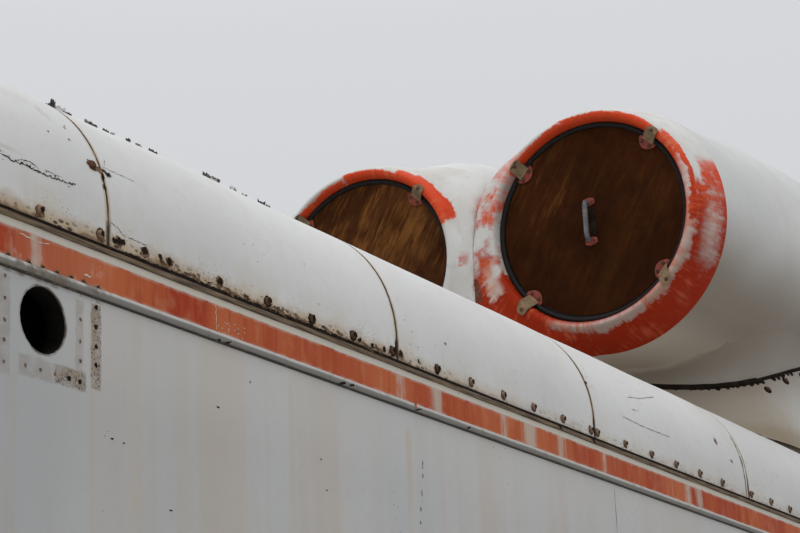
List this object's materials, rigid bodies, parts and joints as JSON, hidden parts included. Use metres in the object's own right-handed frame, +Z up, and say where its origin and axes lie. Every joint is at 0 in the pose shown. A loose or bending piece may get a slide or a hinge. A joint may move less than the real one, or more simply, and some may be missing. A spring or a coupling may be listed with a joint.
{
  "type": "hovertrain",
  "caption": "Tracked air-cushion research train car with engine intakes on its roof, air pads, a linear motor slot and hinged crew doors.",
  "frame": {"origin": "on the floor under the middle of the overall box", "axes": "+X to the nose, +Y to the left side, +Z up"},
  "size_m": [15.5, 3.91, 5.186],
  "materials": {
    "body_paint": "weathered white paint, chalky, streaked with rust",
    "cowl_paint": "faded orange-red paint over white",
    "seal_rubber": "black, matt",
    "cover_board": "dark brown weathered board",
    "nozzle_steel": "heat-stained steel",
    "frame_paint": "dark grey paint, dusty",
    "motor_steel": "varnished laminated steel",
    "pad_metal": "dull, dusty aluminium",
    "window": "tinted glass",
    "lamp_lens": "clear glass",
    "interior": "matt dark grey paint",
    "seat_cloth": "dark blue-grey cloth"
  },
  "bodies": {
    "root": {"side_wall_left": "body_paint", "side_wall_right": "body_paint", "roof_edge_left": "body_paint", "roof_edge_right": "body_paint", "roof_center": "body_paint", "nose_shell": "body_paint", "tail_shell": "body_paint", "windscreen_left": "window", "windscreen_right": "window", "side_window_left": "window", "side_window_right": "window", "headlamp_left": "lamp_lens", "headlamp_right": "lamp_lens", "cab_floor": "interior", "cab_bulkhead": "interior", "console": "interior", "seat_left": "seat_cloth", "seat_right": "seat_cloth", "underframe": "frame_paint", "linear_motor": "motor_steel", "engine_deck": "body_paint", "engine_fairing": "body_paint", "intake_cowl_left": "cowl_paint", "intake_seal_left": "seal_rubber", "intake_cover_left": "cover_board", "exhaust_nozzle_left": "nozzle_steel", "intake_cowl_center": "cowl_paint", "intake_seal_center": "seal_rubber", "intake_cover_center": "cover_board", "exhaust_nozzle_center": "nozzle_steel", "intake_cowl_right": "cowl_paint", "intake_seal_right": "seal_rubber", "intake_cover_right": "cover_board", "exhaust_nozzle_right": "nozzle_steel", "levitation_pad_front_left": "pad_metal", "guidance_pad_front_left": "pad_metal", "levitation_pad_front_right": "pad_metal", "guidance_pad_front_right": "pad_metal", "levitation_pad_rear_left": "pad_metal", "guidance_pad_rear_left": "pad_metal", "levitation_pad_rear_right": "pad_metal", "guidance_pad_rear_right": "pad_metal"},
    "crew_door_left": {"crew_door_left": "body_paint", "door_window_left": "window"},
    "crew_door_right": {"crew_door_right": "body_paint", "door_window_right": "window"}
  },
  "joints": [
    {"name": "crew_door_left_hinge", "type": "hinge", "parent": "root", "child": "crew_door_left", "pos_m": [5.194, 1.904, 1.87], "axis": [0, 0, -1], "range_deg": [0, 100]},
    {"name": "crew_door_right_hinge", "type": "hinge", "parent": "root", "child": "crew_door_right", "pos_m": [5.194, -1.904, 1.87], "axis": [0, 0, 1], "range_deg": [0, 100]}
  ]
}
